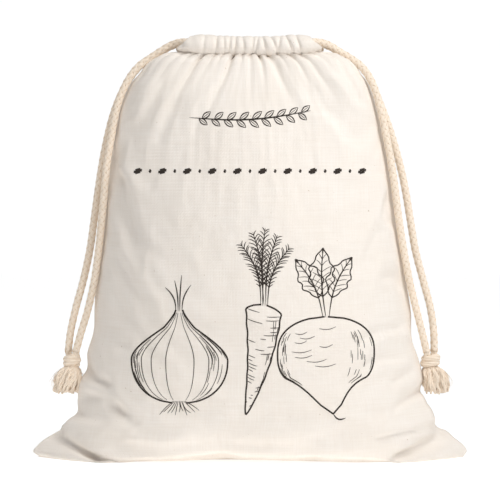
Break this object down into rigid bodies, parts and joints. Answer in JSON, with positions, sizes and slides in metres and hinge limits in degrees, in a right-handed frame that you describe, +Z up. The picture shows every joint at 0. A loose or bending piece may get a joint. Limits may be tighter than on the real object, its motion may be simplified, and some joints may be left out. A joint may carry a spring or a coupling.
{
  "type": "potato storage bag",
  "caption": "Cotton canvas drawstring bag standing as if filled, open gathered mouth, braided drawcords down both sides with knots and frayed tufts.",
  "frame": {"origin": "on the floor under the middle of the bag, at the bottom centre of its cloth", "axes": "+Z up, the front panel faces -Y, +X to the right as seen from the front"},
  "size_m": [0.3159, 0.1478, 0.3123],
  "materials": {
    "canvas": "natural unbleached plain-woven cotton canvas, matte",
    "cotton_cord": "braided natural cotton cord, matte"
  },
  "bodies": {
    "root": {"front_panel": "canvas", "back_panel": "canvas", "front_channel": "canvas", "back_channel": "canvas", "left_cord": "cotton_cord", "right_cord": "cotton_cord", "left_knot": "cotton_cord", "right_knot": "cotton_cord", "left_tuft": "cotton_cord", "right_tuft": "cotton_cord"}
  },
  "joints": []
}
